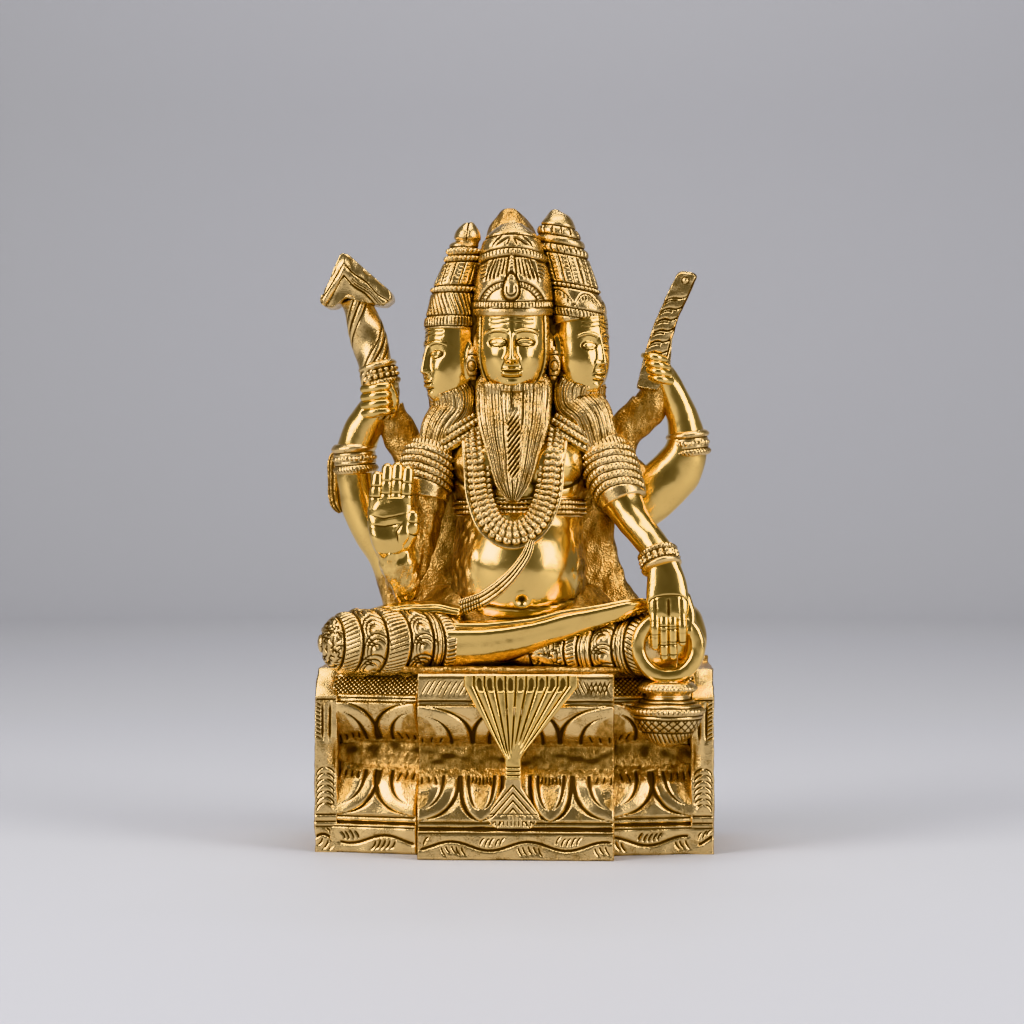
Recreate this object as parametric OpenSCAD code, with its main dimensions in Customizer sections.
// Seated four-headed, four-armed brass figure on a double-lotus pedestal.
// Millimetres, +Z up. The figure faces -Y and the origin is on the table, under the
// middle of the pedestal. "Right" and "left" are the figure's own, so right is -X.

/* [Overall] */
// Height from the table to the top of the rear crown
statue_h = 165; // [155:1:175]

/* [Pedestal] */
// Width over the two end walls
pedestal_w = 101; // [95:1:107]
// Depth from the centre block's face to the back of the rear wall
pedestal_d = 54; // [52:1:56]
// Height of the seat above the table
pedestal_h = 46; // [44:1:48]
// Width of the centre block that stands in front of the flanks
block_w = 48.8; // [46:0.2:52]
// How far the centre block lies to the left of the middle
block_x = 1; // [0:0.2:2]
// How far the centre block stands in front of the flanks
block_step = 9; // [7:0.5:11]
// Angle at which the flanks turn back towards the ends
flank_sweep = 12; // [8:1:14]
// Thickness of the two end walls, whose carved front edges show as pilasters
end_wall_t = 6; // [4:0.5:7]
// Thickness of the rear wall
rear_wall_t = 4; // [3.5:0.5:5]
// Depth of the waist between the two rows of lotus petals
waist_depth = 6.5; // [4:0.5:7.5]

/* [Figure] */
// Sides of the rings that make the arms, legs and folds
ring_sides = 16; // [12:2:20]
// Rings between two neighbouring sections of a limb
ring_steps = 3; // [2:1:4]

/* [Water pot] */
// Widest radius of the pot
pot_r = 9; // [8:0.5:10]
// Radius of the bar that makes the pot's ring handle
handle_bar_r = 1.9; // [1.5:0.1:2.2]

/* [Hidden] */

polished = "#d8ae4c";
chased = "#b98d3e";
as_cast = "#86683a";

front_y = -pedestal_d / 2;
back_y = pedestal_d / 2;
end_x = pedestal_w / 2;
flank_y = front_y + block_step;
block_depth = block_step + 5;
flank_depth = 9;
deck_h = 5;
deck_z = pedestal_h - deck_h;
rear_rise = 2;

// The figure is drawn at its nominal size, 119 mm from the seat to the crown.
figure_nominal = 119;
fig = (statue_h - pedestal_h) / figure_nominal;

// A point of the figure: x to its left, y to its back, z above the seat.
function at(x, y, z) = [x * fig, y * fig, pedestal_h + z * fig];
// A section of a limb: its centre, then half its width and half its depth.
function sec(x, y, z, a, b) = concat(at(x, y, z), [a * fig, b * fig]);
function mirrored(rows) = [for (r = rows) [-r[0], r[1], r[2], r[3], r[4]]];

function unit(v) = v / norm(v);
function blend4(a, b, c, d, t) =
    (2 * b + (c - a) * t + (2 * a - 5 * b + 4 * c - d) * t * t + (3 * b - a - 3 * c + d) * t * t * t) / 2;
// A smooth line through all rows, with steps points between two rows.
function smooth(rows, steps) = concat(
    [for (i = [0:len(rows) - 2]) for (k = [0:steps - 1])
        blend4(rows[max(i - 1, 0)], rows[i], rows[i + 1], rows[min(i + 2, len(rows) - 1)], k / steps)],
    [rows[len(rows) - 1]]);
function centre(row) = [row[0], row[1], row[2]];
function ring(row, along, side, n) =
    let (across = unit(cross(along, side)), deep = unit(cross(along, across)))
    [for (k = [0:n - 1]) centre(row)
        + across * max(row[3], 0.15) * cos(360 * k / n) + deep * max(row[4], 0.15) * sin(360 * k / n)];

// A solid swept through elliptical sections. side is roughly the direction of their depth.
module limb(sections, side = [0, 1, 0], n = ring_sides, steps = ring_steps) {
    rows = smooth(sections, steps);
    last = len(rows) - 1;
    rings = [for (i = [0:last])
        ring(rows[i], centre(rows[min(i + 1, last)]) - centre(rows[max(i - 1, 0)]), side, n)];
    points = [for (r = rings) for (p = r) p];
    walls = [for (i = [0:last - 1]) for (k = [0:n - 1])
        let (a = i * n + k, b = i * n + (k + 1) % n) each [[a, b, b + n], [a, b + n, a + n]]];
    ends = [[for (k = [n - 1:-1:0]) k], [for (k = [0:n - 1]) last * n + k]];
    polyhedron(points, concat(walls, ends), convexity = 4);
}

// Pedestal ------------------------------------------------------------------

// Depth behind the front plane of the moulding at height z, before it is swept along x:
// plinth band, lower petals, waist, upper petals and top band.
lower_z = 8;
waist_low = 22;
waist_high = 27.5;
upper_z = 38.5;
band_inset = 0.6;
function petal_curve(t) = waist_depth * (1 - cos(90 * t));
petal_steps = 6;
function moulding() = concat(
    [[0, 0], [0, lower_z - 1], [0.8, lower_z - 0.4]],
    [for (k = [0:petal_steps]) let (t = k / petal_steps)
        [0.3 + petal_curve(t) * 0.92, lower_z + 0.5 + (waist_low - lower_z - 0.5) * t]],
    [for (k = [0:petal_steps]) let (t = 1 - k / petal_steps)
        [0.5 + petal_curve(t) * 0.88, upper_z - 0.5 - (upper_z - 0.5 - waist_high) * t]],
    [[1.2, upper_z], [band_inset, upper_z + 0.8]]);

// The moulded bar, from x0 to x1, with its front plane at y = 0 and its back at y = depth.
module moulded_bar(x0, x1, depth, top) {
    translate([x0, 0, 0]) rotate([90, 0, 90]) linear_extrude(x1 - x0)
        polygon(concat(moulding(), top, [[depth, pedestal_h - 1], [depth, 0]]));
}

module centre_block() color(chased) {
    translate([block_x, front_y, 0]) moulded_bar(-block_w / 2, block_w / 2, block_depth,
        [[band_inset, pedestal_h - 0.6], [band_inset + 0.6, pedestal_h], [block_depth, pedestal_h]]);
}

// The flanks start behind the block's back corner and turn back to the end walls.
flank_length = (end_x - end_wall_t - block_w / 2) / cos(flank_sweep);
chamfer_run = 5;
module flank_bar() {
    translate([block_w / 2, flank_y, 0]) rotate(flank_sweep)
        moulded_bar(0, flank_length, flank_depth,
                    [[chamfer_run, pedestal_h - 1], [flank_depth, pedestal_h - 1]]);
}
module left_flank() color(chased) flank_bar();
module right_flank() color(chased) mirror([1, 0, 0]) flank_bar();

// End wall: a plain slab whose front edge shows beside the flank and slopes back at the top.
end_front_y = flank_y + (end_x - end_wall_t - block_w / 2) * tan(flank_sweep);
end_corner_r = 5;
module end_wall() {
    translate([end_x - end_wall_t, 0, 0]) rotate([90, 0, 90]) linear_extrude(end_wall_t)
        polygon([[end_front_y, 0], [back_y - rear_wall_t, 0], [back_y - rear_wall_t, pedestal_h],
                 [end_front_y + chamfer_run * 1.6, pedestal_h], [end_front_y, upper_z + 1]]);
}
module left_end_wall() color(as_cast) end_wall();
module right_end_wall() color(as_cast) mirror([1, 0, 0]) end_wall();

module rear_wall() color(as_cast) {
    top = pedestal_h + rear_rise;
    translate([0, back_y, 0]) rotate([90, 0, 0]) linear_extrude(rear_wall_t) {
        translate([-end_x, 0]) square([pedestal_w, top - end_corner_r]);
        translate([-end_x + end_corner_r, 0]) square([pedestal_w - 2 * end_corner_r, top]);
        for (s = [-1, 1])
            translate([s * (end_x - end_corner_r), top - end_corner_r]) circle(end_corner_r, $fn = 48);
    }
}

// The seat fills the top of the pedestal between the walls and the moulded bars.
module seat_deck() color(as_cast) {
    back = back_y - rear_wall_t;
    front = front_y + block_depth;
    translate([0, 0, deck_z]) linear_extrude(deck_h) polygon([
        [block_x - block_w / 2, front], [block_x + block_w / 2, front],
        [block_w / 2, flank_y + flank_depth / cos(flank_sweep)],
        [end_x - end_wall_t, end_front_y + flank_depth / cos(flank_sweep)], [end_x - end_wall_t, back],
        [-end_x + end_wall_t, back], [-end_x + end_wall_t, end_front_y + flank_depth / cos(flank_sweep)],
        [-block_w / 2, flank_y + flank_depth / cos(flank_sweep)]]);
    translate([0, 0, pedestal_h]) linear_extrude(1.5)
        polygon([[-22, front_y + 3], [22, front_y + 3], [34, flank_y + 7], [40, 6], [36, back - 2],
                 [-36, back - 2], [-40, 6], [-34, flank_y + 7]]);
}

// Pleated cloth that hangs over the centre block and narrows to a knot.
cloth_x = block_x - 0.6;
cloth_lean = 2;
cloth_top_w = 28.4;
cloth_knot_w = 4;
cloth_knot_z = 23;
cloth_t = waist_depth * 0.7;
module seat_cloth() color(polished) {
    translate([cloth_x, front_y + cloth_t, 0]) rotate([90, 0, 0]) linear_extrude(cloth_t - 0.1)
        polygon([[cloth_lean - cloth_top_w / 2, pedestal_h - 0.4], [cloth_lean - cloth_top_w / 2, pedestal_h - 3],
                 [-cloth_knot_w / 2 - 0.8, cloth_knot_z + 4], [-cloth_knot_w / 2, cloth_knot_z - 3],
                 [cloth_knot_w / 2, cloth_knot_z - 3], [cloth_knot_w / 2 + 0.8, cloth_knot_z + 4],
                 [cloth_lean + cloth_top_w / 2, pedestal_h - 3], [cloth_lean + cloth_top_w / 2, pedestal_h - 0.4]]);
}

// Diamond-shaped end of the cloth, lying over the lower petals.
tassel_w = 14;
tassel_z = 8;
module cloth_tassel() color(chased) {
    top = cloth_knot_z - 3;
    translate([cloth_x, front_y + 2.4, 0]) rotate([90, 0, 0]) linear_extrude(2.3)
        polygon([[-cloth_knot_w / 2, top], [-cloth_knot_w / 2, top - 2], [-tassel_w / 2, tassel_z + 2.5],
                 [-tassel_w / 4, tassel_z], [tassel_w / 4, tassel_z], [tassel_w / 2, tassel_z + 2.5],
                 [cloth_knot_w / 2, top - 2], [cloth_knot_w / 2, top]]);
}

// Body ----------------------------------------------------------------------

module hips() color(as_cast) limb([
    sec(0, 3, 1.5, 38, 17), sec(0, 3, 6, 40, 18), sec(0, 3, 12, 35, 17), sec(0, 3, 17, 25, 14),
    sec(0, 3, 21, 21, 11)], n = 24);

module torso() color(polished) limb([
    sec(0.5, 0, 14, 17, 14), sec(1, -0.5, 20, 17, 16), sec(1, -0.5, 28, 17, 16.5), sec(1, 0.5, 35, 16.2, 14),
    sec(1, 1.5, 41, 15.6, 12.2), sec(1, 1.5, 48, 18.5, 12.6), sec(1, 2.5, 54, 21, 12),
    sec(1, 3, 58, 20.5, 10), sec(0.5, 3, 62, 16, 8.5), sec(0, 3, 67, 10, 8), sec(0, 3, 71, 9, 8)], n = 24);

// Rough slab of metal that the mould leaves between the body and the rear arms.
module back_web() color(as_cast) limb([
    sec(0, 12, 10, 34, 7), sec(-1, 12, 20, 30, 6.5), sec(-1, 12, 32, 27, 6), sec(0, 12, 44, 26, 6),
    sec(1, 12, 54, 26, 6), sec(1, 12, 61, 21, 6), sec(0, 12, 67, 15, 5)], n = 20);

module right_thigh() color(chased) limb([
    sec(-48.7, -9.5, 6.2, 1.5, 1.5), sec(-47.9, -9.8, 6.3, 4.6, 4.4), sec(-44.8, -10.2, 6.5, 7.2, 7),
    sec(-40, -10.8, 6.9, 8, 8), sec(-32, -11.6, 7.1, 8.3, 8.4), sec(-22, -12.6, 7.1, 8, 8.2),
    sec(-13.5, -13.2, 6.5, 6.8, 7.4)]);

module right_shin() color(polished) limb([
    sec(-15.5, -13.6, 6.4, 6.3, 6.6), sec(-7, -14.8, 6.9, 5.9, 6.2), sec(0, -15.6, 8, 5.1, 5.6),
    sec(7, -16.2, 9.7, 4.3, 4.9), sec(14, -16.2, 11.8, 3.9, 4.3), sec(22, -15.6, 13.8, 3, 3.6),
    sec(29, -14.4, 15.6, 2.3, 3), sec(34.5, -13.2, 16.4, 1, 1.4)]);

module left_thigh() color(chased) limb([
    sec(-2, -10, 4.6, 4, 6), sec(6, -11.5, 4.7, 5, 7.2), sec(15, -12.4, 4.8, 6, 8),
    sec(24, -12.2, 5.4, 7, 8.2), sec(33, -11, 6.4, 8, 8.4), sec(39, -9.6, 7, 8.6, 8.6)]);

module left_knee() color(polished) limb([
    sec(36.6, -9.8, 7, 8.6, 8.4), sec(40.4, -9, 7.8, 9.6, 8.8), sec(44.2, -8, 8.4, 8.6, 7.8),
    sec(47, -7.4, 8.4, 5.6, 5.4), sec(48.6, -7, 8.4, 1.5, 1.5)]);

// End of the shawl, laid over the right thigh.
module waist_sash() color(polished) limb([
    sec(-37.5, -8, 14.2, 0.8, 1.5), sec(-33, -9, 14.6, 1.8, 4), sec(-26, -10, 15.4, 2, 4.6),
    sec(-19, -11.4, 15.4, 1.8, 4.2), sec(-13, -13.4, 14.6, 1.4, 3)], n = 12);

// Arms ----------------------------------------------------------------------

module front_right_arm() color(as_cast) limb([
    sec(-19, 1, 56.5, 5, 6), sec(-22.3, -1, 54, 6.4, 6.6), sec(-23.6, -3, 46, 6, 6.2),
    sec(-25, -4.4, 36, 5.6, 5.8), sec(-27, -5.6, 28, 5.2, 5.6), sec(-28.5, -7, 23.5, 4.4, 4.8),
    sec(-29, -8.2, 20.8, 1.6, 2)]);

module front_left_arm() color(polished) limb([
    sec(20, 1, 56.5, 5, 6), sec(23, -1, 54, 6.4, 6.6), sec(25.6, -4, 47, 6, 6.2),
    sec(28.6, -6.8, 40.6, 4.8, 5), sec(31.6, -10, 36, 4.1, 4.3), sec(35, -13.6, 31.8, 3.9, 4),
    sec(37.6, -16.2, 28, 3.7, 3.6)]);

module rear_right_arm() color(polished) limb([
    sec(-31.4, 9.5, 15, 3.6, 4), sec(-33, 9.4, 22, 3.8, 4), sec(-35, 9, 28.5, 4.2, 4.4),
    sec(-38, 8.6, 34.5, 4.8, 4.8), sec(-40.8, 8.4, 41, 5, 4.8), sec(-42.4, 8.4, 48, 4.9, 4.8),
    sec(-42.6, 8, 54.5, 4.9, 4.9), sec(-41, 7.4, 60, 4.9, 4.8), sec(-38.2, 6.6, 65.4, 4.4, 4.4),
    sec(-36, 6, 69, 3.2, 3.2)]);

module rear_left_arm() color(polished) limb([
    sec(28, 8.8, 37, 4.4, 4.6), sec(33.4, 8.6, 41, 4.8, 4.8), sec(38.6, 8.5, 45.6, 5, 5),
    sec(43.4, 8.4, 51, 4.9, 5), sec(44.8, 8, 57, 4.6, 4.8), sec(43.2, 7.6, 64, 4.2, 4.2),
    sec(40.6, 7, 70.6, 3.6, 3.6), sec(38, 6.4, 76, 3, 3), sec(37, 5.8, 78.4, 1.4, 1.6)]);

// Metal left between each raised hand and the shoulder.
module rear_right_web() color(as_cast) limb([
    sec(-34.6, 7, 66, 3.4, 3.2), sec(-32, 7.6, 60.5, 3, 3.2), sec(-28.6, 8, 55, 2.8, 3.4),
    sec(-25.6, 8.4, 50.5, 3.2, 4)], n = 12);
module rear_left_web() color(as_cast) limb([
    sec(36, 6.6, 75, 3, 2.8), sec(33.6, 7, 69.6, 4.6, 3), sec(30.2, 7.6, 64.6, 4.4, 3.2),
    sec(27, 8, 59, 4, 3.4), sec(25.2, 8.4, 52, 4.2, 4), sec(27.6, 8.4, 44, 4.2, 4)], n = 12);

// A bar with round ends.
module bar(p, q, r0, r1) hull() {
    translate(p) sphere(r0 * fig, $fn = 10);
    translate(q) sphere(r1 * fig, $fn = 10);
}
module palm(points, r) hull() for (p = points) translate(p) sphere(r * fig, $fn = 12);

// Open palm turned to the front, fingers up.
module front_right_hand() color(polished) {
    palm([at(-33, -14, 41), at(-28.4, -14, 40), at(-33.4, -14.2, 32), at(-27.6, -14, 33)], 2.2);
    palm([at(-30.6, -12.6, 29), at(-29.6, -8.4, 22.6)], 3.6);
    for (k = [0:3]) {
        tip = [46.6, 49.6, 51, 49][k];
        x = -34 + 2.25 * k;
        bar(at(x, -14.4, 40.5), at(x + 0.5, -14.6, (tip + 40.5) / 2), 1.35, 1.3);
        bar(at(x + 0.5, -14.6, (tip + 40.5) / 2), at(x + 0.9, -14.2, tip), 1.3, 1.15);
    }
    bar(at(-28, -14.4, 33.5), at(-25.8, -14.6, 38.6), 1.8, 1.4);
}

// Hand that hangs over the pot's handle, fingers down.
module front_left_hand() color(polished) {
    palm([at(36.8, -17, 27), at(39.6, -17, 27), at(36.2, -19.4, 18), at(41.8, -19, 18)], 2.3);
    palm([at(37.4, -16.4, 30), at(39, -16.4, 29)], 3);
    for (k = [0:3]) {
        tip = [7, 4, 4.4, 8][k];
        x = 34.8 + 2.3 * k;
        bar(at(x, -20, 16.5), at(x + 0.2, -21, (tip + 16.5) / 2), 1.25, 1.15);
        bar(at(x + 0.2, -21, (tip + 16.5) / 2), at(x + 0.3, -20.4, tip), 1.15, 1);
    }
    bar(at(43.4, -18, 17), at(44, -20.2, 10), 1.5, 1.2);
}

// Fist round the ladle's shaft.
module rear_right_hand() color(polished) {
    palm([at(-38.4, 4.4, 66), at(-34.6, 4, 67.5), at(-37.6, 4, 71), at(-34.4, 3.6, 71.5)], 2.6);
    for (k = [0:3])
        bar(at(-38.8, 2.6, 65.6 + 2.2 * k), at(-33.2, 1.6, 66.4 + 2.2 * k), 1.25, 1.15);
    for (k = [0:3])
        bar(at(-33.2, 1.6, 66.4 + 2.2 * k), at(-31.8, 4.4, 66.8 + 2.2 * k), 1.15, 1);
}

// Fingers that pinch the foot of the book.
module rear_left_hand() color(polished) {
    palm([at(38.4, 5.2, 76), at(36.4, 4.6, 78)], 2.6);
    for (k = [0:3]) {
        bar(at(39.6 - 0.4 * k, 3.8, 74.4 + 1.8 * k), at(36.6 - 0.4 * k, 2.2, 75 + 1.8 * k), 1.1, 1);
        bar(at(36.6 - 0.4 * k, 2.2, 75 + 1.8 * k), at(34.6 - 0.4 * k, 3.8, 75.4 + 1.8 * k), 1, 0.9);
    }
}

// Jewellery of the arms -------------------------------------------------------

// A short sleeve round a limb, from p to q.
module sleeve(p, q, r) limb([
    concat(p, [r * 0.8, r * 0.8] * fig), concat(p + (q - p) * 0.12, [r, r] * fig),
    concat(p + (q - p) * 0.88, [r, r] * fig), concat(q, [r * 0.8, r * 0.8] * fig)], steps = 1);

module right_armlet() color(chased) limb([
    sec(-21.4, -1.6, 57.6, 6, 6), sec(-22, -2.2, 54, 7.2, 7.4), sec(-23, -3, 49, 7.2, 7.2),
    sec(-23.8, -3.8, 43.5, 6.6, 6.8)], steps = 2);
module left_armlet() color(chased) limb([
    sec(21.8, -1.6, 57.6, 6, 6), sec(23.4, -2.4, 53.6, 7.2, 7.4), sec(25.4, -4, 48.4, 7, 7.2),
    sec(28, -6.2, 42.4, 5.9, 6.2)], steps = 2);
module right_elbow_band() color(chased) sleeve(at(-42.2, 8.4, 50), at(-42.8, 8, 58), 5.7);
module left_elbow_band() color(chased) sleeve(at(45, 8.2, 54.4), at(44.2, 8, 61), 5.4);
module left_wrist_bangle() color(chased) sleeve(at(36, -14.6, 30.4), at(37.4, -16.8, 25.6), 4.9);
module ladle_collar() color(chased) sleeve(at(-35, 6, 72.5), at(-36.6, 6, 79), 4.8);

// Attributes ------------------------------------------------------------------

module ladle_shaft() color(chased) limb([
    sec(-34.6, 6, 64, 3, 3), sec(-35, 6, 70, 4, 3.8), sec(-37, 6, 79, 3.9, 3.6),
    sec(-39.4, 6, 87, 3.5, 3.4), sec(-42, 5.5, 95.5, 3.4, 3.4)]);

// Three-cornered spoon head, thick at the middle, with its point up.
ladle_depth = 11;
module ladle_head() color(chased)
    translate(at(-43.6, 11, 0) - [0, 0, pedestal_h]) rotate([90, 0, 0]) linear_extrude(ladle_depth * fig)
    translate([0, pedestal_h]) scale(fig) polygon([
        [-1.8, 107], [0.2, 106.6], [11.2, 97], [11.6, 95], [9.6, 93.4], [3.6, 94.2],
        [-0.4, 95.6], [-3.6, 93], [-6, 93], [-6.8, 94.6], [-3.2, 104]]);

// Long narrow book of palm leaves, held by its foot and leaning outwards.
book_t = 4;
module palm_leaf_book() color(chased)
    translate(at(0, 7, 0)) rotate([90, 0, 0]) linear_extrude(book_t * fig) scale(fig) polygon([
        [31, 72], [36.4, 71], [39.8, 78], [40.2, 84], [41.8, 90], [44.4, 95.4], [46.8, 101],
        [46, 101.8], [42.6, 102.2], [41.6, 101.6], [38.8, 96], [35.6, 88.6], [33.4, 82]]);

// Loose end of the shawl that hangs behind the right elbow.
module scarf_end() color(as_cast) limb([
    sec(-45.2, 10, 57, 1.2, 1.6), sec(-47.1, 10.4, 53.5, 2.8, 1.8), sec(-47.4, 10.6, 48, 2.6, 1.8),
    sec(-47.2, 10.4, 42.6, 2.4, 1.8), sec(-46.2, 10.2, 40, 1, 1.4)], n = 12);

// Necklaces and bands ---------------------------------------------------------

module garland() color(chased) {
    side = [sec(-10.4, -4.6, 61, 2.8, 1.4), sec(-9.4, -9.8, 53, 3.2, 1.6), sec(-8.4, -12, 44, 3.4, 1.8),
            sec(-5.4, -15.2, 37, 3.4, 1.8)];
    other = mirrored([for (k = [len(side) - 1:-1:0]) side[k]]);
    limb(concat(side, [sec(0, -16.6, 34.4, 3.4, 1.8)], other), n = 12);
}

// Rows of beads from the neck to the shoulder.
module collar_rows() limb([
    sec(9.5, -4.4, 63.4, 2.4, 1.6), sec(14, -5.6, 60.6, 3, 1.8), sec(19, -5.4, 57.6, 3, 1.8),
    sec(22.6, -3, 56.6, 2.4, 1.6)], n = 12);
module left_collar() color(chased) collar_rows();
module right_collar() color(chased) mirror([1, 0, 0]) collar_rows();

module chest_band() color(chased) limb([
    sec(1, 1.5, 38.6, 16.2, 13), sec(1, 1.5, 39.6, 17, 13.8), sec(1, 1.5, 42.8, 17, 13.8),
    sec(1, 1.5, 43.8, 16.4, 13.2)], n = 24, steps = 1);

// Strands that cross the belly from under the garland to the right hip.
module sacred_thread() color(chased) limb([
    sec(4.6, -17, 33, 1, 0.7), sec(3, -17.2, 28.6, 1.1, 0.8), sec(-1.4, -16.9, 23, 1.4, 0.9),
    sec(-7, -15.7, 18.6, 1.8, 1), sec(-13, -13.4, 16, 2, 1.1)], n = 10);

// Heads -----------------------------------------------------------------------

// An egg-shaped head from chin to brow, facing -Y, about the origin.
function head_rows(x, y, z, w, d) = [
    sec(x, y - 1.5, z - 12, 2.4, 2.6), sec(x, y - 1.2, z - 10.8, w * 0.56, d * 0.6),
    sec(x, y - 0.6, z - 7, w * 0.84, d * 0.88), sec(x, y, z - 1, w, d), sec(x, y, z + 6, w * 1.02, d),
    sec(x, y, z + 11, w * 0.98, d * 0.97), sec(x, y, z + 13, w * 0.8, d * 0.8)];
module head(x, y, z, w, d, turn)
    translate(at(x, y, 0)) rotate(turn) translate(-at(0, 0, 0)) limb(head_rows(0, 0, z, w, d));

front_head_at = [-0.4, -7, 81.4];
right_head_at = [-16.6, -1, 79];
left_head_at = [16.6, -1, 81];
rear_head_at = [-0.4, 12, 81.6];
right_turn = -52;
left_turn = 42;

module front_head() color(polished)
    head(front_head_at[0], front_head_at[1], front_head_at[2], 9.2, 9.4, 0);
module right_head() color(polished)
    head(right_head_at[0], right_head_at[1], right_head_at[2], 6.9, 7.2, right_turn);
module left_head() color(polished)
    head(left_head_at[0], left_head_at[1], left_head_at[2], 7.3, 7.6, left_turn);
module rear_head() color(polished)
    head(rear_head_at[0], rear_head_at[1], rear_head_at[2], 8.6, 8.6, 180);

// Tall crowns of matted hair: head band, tapering cone, ring and bud.
module front_crown() color(chased) limb([
    sec(-0.4, -6.6, 91, 9.4, 9.4), sec(-0.4, -6.4, 92.4, 10.2, 10), sec(-0.4, -6, 98, 9.6, 9.2),
    sec(-0.6, -5.2, 104, 8.4, 8), sec(-0.8, -4.6, 108, 7.8, 7.2), sec(-0.8, -4.2, 111, 6, 5.6),
    sec(-0.8, -4, 113.6, 2.6, 2.4), sec(-0.8, -4, 114, 0.8, 0.8)], n = 20);
module right_crown() color(chased) limb([
    sec(-16.6, -1, 88.4, 5.6, 6.4), sec(-16.5, -1, 89.6, 6.1, 6.8), sec(-15.8, -0.6, 97, 5.6, 6.2),
    sec(-13.8, -0.2, 104, 4.5, 4.8), sec(-13, 0, 108, 4.4, 4.4), sec(-12.6, 0, 109.6, 3.2, 3.2),
    sec(-12.3, 0, 112, 3.3, 3.3), sec(-12.1, 0, 114.6, 1, 1)], n = 20);
module left_crown() color(chased) limb([
    sec(15.6, -1, 91, 6.4, 7), sec(15.2, -1, 92.4, 7, 7.6), sec(14.2, -0.4, 98, 6.7, 7),
    sec(12.3, 0.4, 105, 6, 6.2), sec(10.9, 1, 110, 5.4, 5.6), sec(10.5, 1.4, 114.6, 4.2, 4.4),
    sec(10.2, 1.6, 117, 2, 2), sec(10.2, 1.6, 118, 0.8, 0.8)], n = 20);
module rear_crown() color(as_cast) limb([
    sec(-0.4, 12, 91.6, 8.8, 8.8), sec(-0.4, 12, 93, 9.6, 9.4), sec(-0.8, 11, 100, 8.8, 8.6),
    sec(-1.4, 9.4, 108, 7.6, 7.4), sec(-1.8, 8.4, 114, 5.9, 5.8), sec(-2, 8, 117.6, 3, 3),
    sec(-2, 8, 118.9, 1.4, 1.4), sec(-2, 8, 119, 0.5, 0.5)], n = 20);

module front_beard() color(chased) limb([
    sec(-0.2, -5, 76, 8, 6.4), sec(-0.2, -7.4, 71, 10.6, 6.8), sec(-0.2, -10.6, 63, 9, 4.8),
    sec(-0.2, -12.2, 55, 6.8, 3.6), sec(-0.2, -13.6, 47, 4.4, 2.8), sec(-0.2, -15, 42.6, 1.4, 1.4)], n = 20);
module right_beard() color(chased) limb([
    sec(-17, -1.4, 74, 6.4, 6.4), sec(-18, -2, 68, 6.6, 6), sec(-19.2, -2.2, 62, 6.4, 4.8),
    sec(-20.4, -2.2, 56, 5.8, 4)]);
module left_beard() color(chased) limb([
    sec(17.6, -1.6, 76, 6.8, 6.6), sec(18.4, -2.2, 69, 7, 6), sec(19.8, -2.6, 63, 7, 4.8),
    sec(21.4, -2.8, 57.4, 6.4, 4)]);
module rear_beard() color(chased) limb([
    sec(-0.4, 12, 74, 8.4, 7.4), sec(-0.4, 15, 68, 8.6, 6), sec(-0.4, 16, 60, 6.6, 5),
    sec(-0.4, 17, 50, 3.6, 3.4), sec(-0.4, 17.4, 44, 0.8, 0.8)]);

// Long ear lobes with ring pendants beside the front face.
module earrings() color(chased) for (s = [-1, 1]) limb([
    sec(s * 10.2 - 0.4, -6.4, 82, 0.8, 0.8), sec(s * 10.8 - 0.4, -6.8, 80, 1.6, 1.6),
    sec(s * 11 - 0.4, -7, 77, 2, 1.8), sec(s * 10.8 - 0.4, -7, 73.6, 1.8, 1.6),
    sec(s * 10.6 - 0.4, -7, 72, 0.6, 0.6)], n = 12);

// Water pot ---------------------------------------------------------------------

pot_x = 38.7;
pot_y = -17.4;
pot_foot_z = 27.5;
module pot_body() color(chased) translate([pot_x, pot_y, pot_foot_z]) rotate_extrude($fn = 64)
    polygon([[0, 0], [pot_r * 0.2, 0], [pot_r * 0.48, 1.2], [pot_r * 0.74, 3.4], [pot_r * 0.93, 6.2],
             [pot_r, 8], [pot_r, 9.8], [pot_r * 0.84, 11], [pot_r * 0.64, 12.2], [pot_r * 0.6, 13],
             [pot_r * 0.76, 13.6], [pot_r * 0.78, 15.4], [pot_r * 0.6, 16.2], [0, 16.2]]);

// Upright ring that stands on the pot's rim, slightly wider than high.
handle_r = 7.4;
handle_z = pot_foot_z + 16 + handle_r + handle_bar_r * 0.8;
module pot_handle() color(polished)
    translate([pot_x, pot_y - 1.6, handle_z]) rotate([90, 0, 0])
    rotate_extrude($fn = 72) translate([handle_r, 0]) circle(handle_bar_r, $fn = 32);

centre_block();
right_flank();
left_flank();
right_end_wall();
left_end_wall();
rear_wall();
seat_deck();
seat_cloth();
cloth_tassel();
hips();
torso();
back_web();
right_thigh();
right_shin();
left_thigh();
left_knee();
waist_sash();
front_right_arm();
front_right_hand();
front_left_arm();
front_left_hand();
rear_right_arm();
rear_right_hand();
rear_left_arm();
rear_left_hand();
rear_right_web();
rear_left_web();
right_armlet();
left_armlet();
right_elbow_band();
left_elbow_band();
left_wrist_bangle();
ladle_collar();
ladle_shaft();
ladle_head();
palm_leaf_book();
scarf_end();
garland();
right_collar();
left_collar();
chest_band();
sacred_thread();
front_head();
right_head();
left_head();
rear_head();
front_crown();
right_crown();
left_crown();
rear_crown();
front_beard();
right_beard();
left_beard();
rear_beard();
earrings();
pot_body();
pot_handle();
